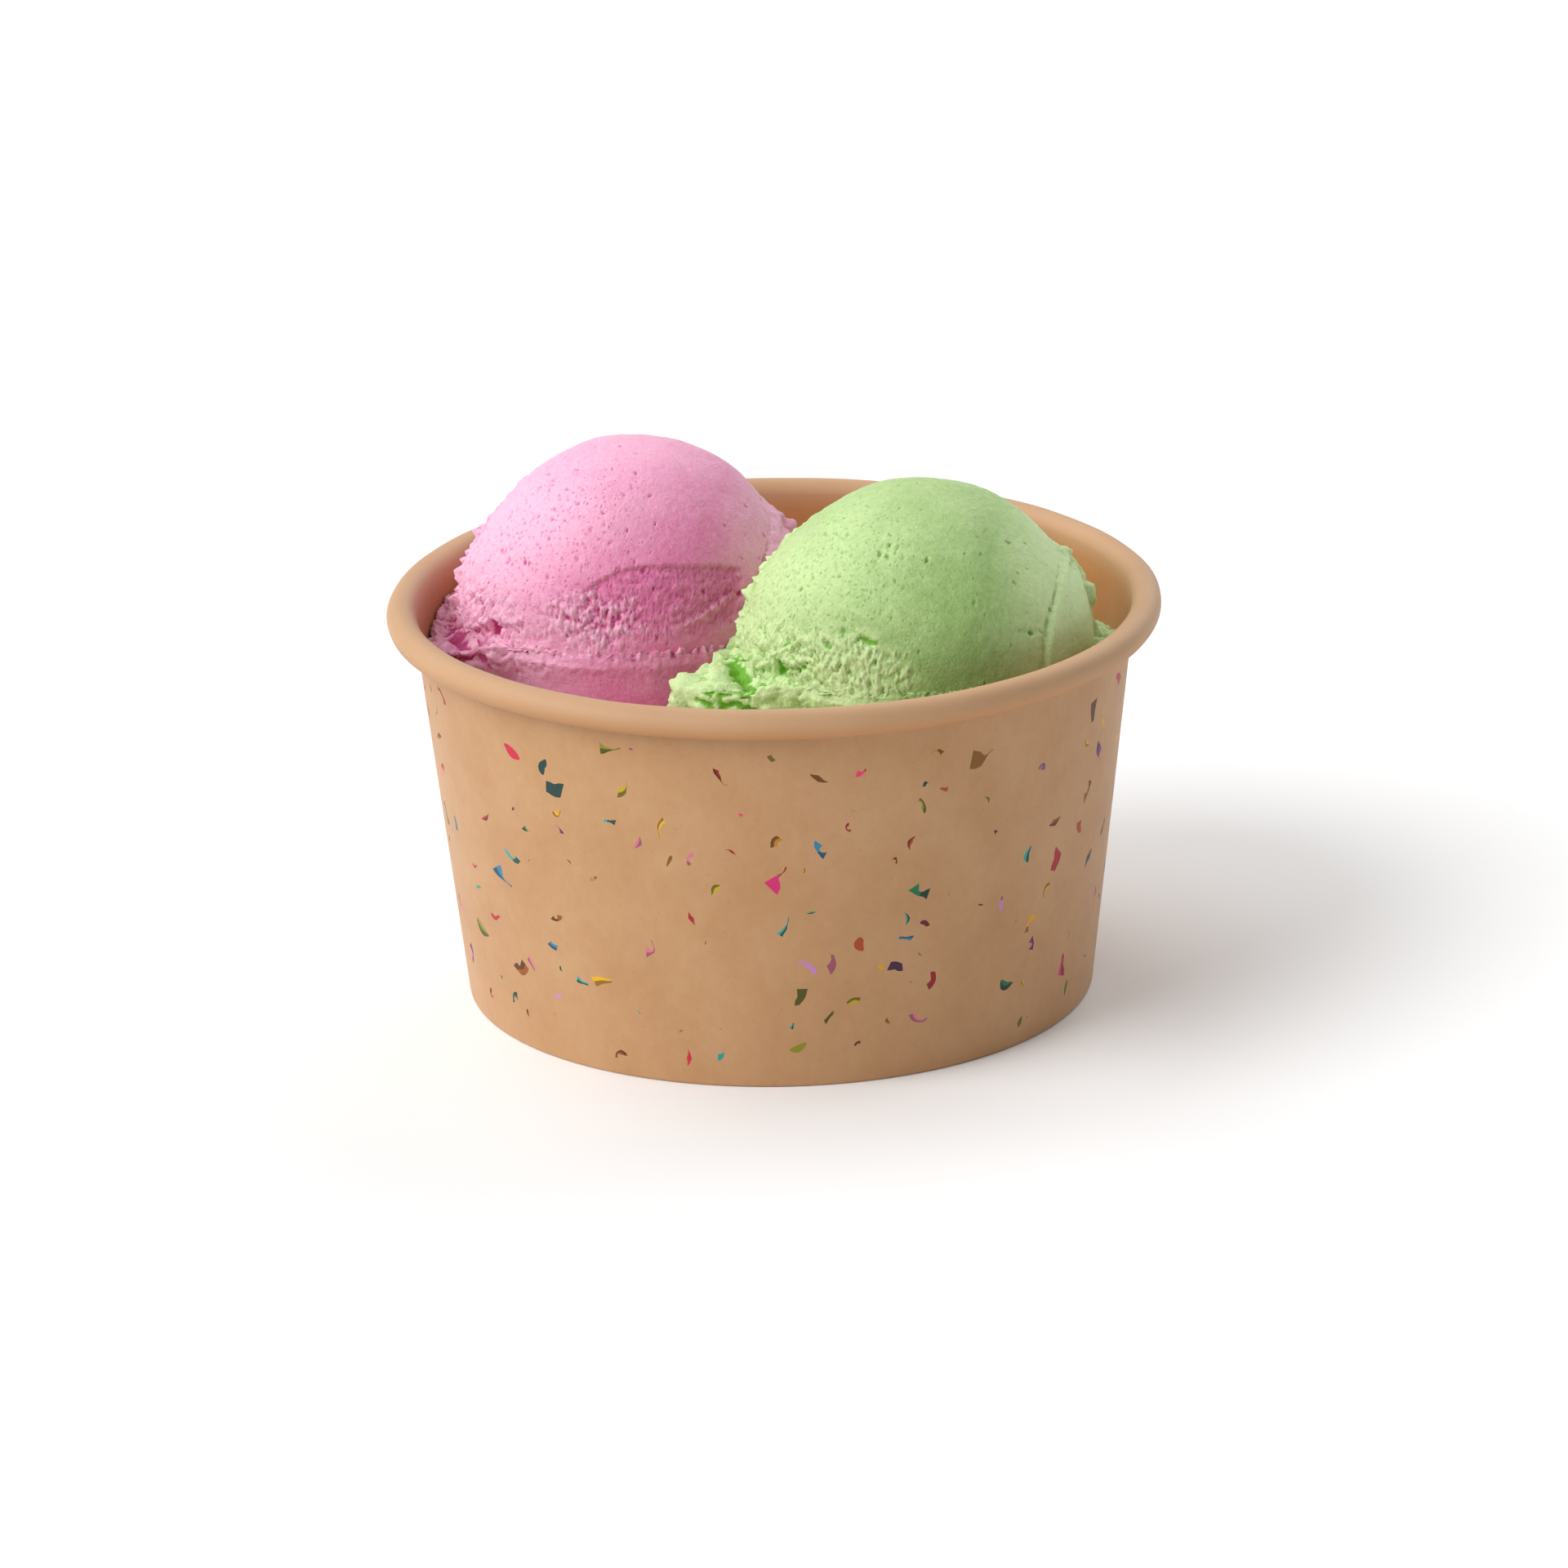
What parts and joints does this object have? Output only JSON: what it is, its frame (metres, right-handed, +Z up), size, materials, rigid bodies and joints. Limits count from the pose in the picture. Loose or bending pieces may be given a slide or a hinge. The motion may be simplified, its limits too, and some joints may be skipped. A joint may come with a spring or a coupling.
{
  "type": "gelato cup",
  "caption": "Brown paper tub with a rolled rim and a confetti print, filled with packed gelato and topped by a pink and a green scoop.",
  "frame": {"origin": "on the tub's axis, on the surface that its foot stands on", "axes": "+Z up along the tub's axis; -Y is the front, with the pink scoop on the left (-X) and a little behind, and the green scoop on the right (+X)"},
  "size_m": [0.115, 0.115, 0.0815],
  "materials": {
    "kraft_paper": "brown kraft board with a thin matt coating and a scattered confetti print",
    "base_paper": "plain brown kraft board, thinly coated",
    "pink_gelato": "soft satin berry gelato, smooth where the scoop pressed it and torn where it broke",
    "green_gelato": "soft satin green gelato, smooth where the scoop pressed it and torn where it broke"
  },
  "bodies": {
    "root": {"cup_wall": "kraft_paper", "cup_base": "base_paper", "pink_gelato": "pink_gelato", "green_gelato": "green_gelato"}
  },
  "joints": []
}
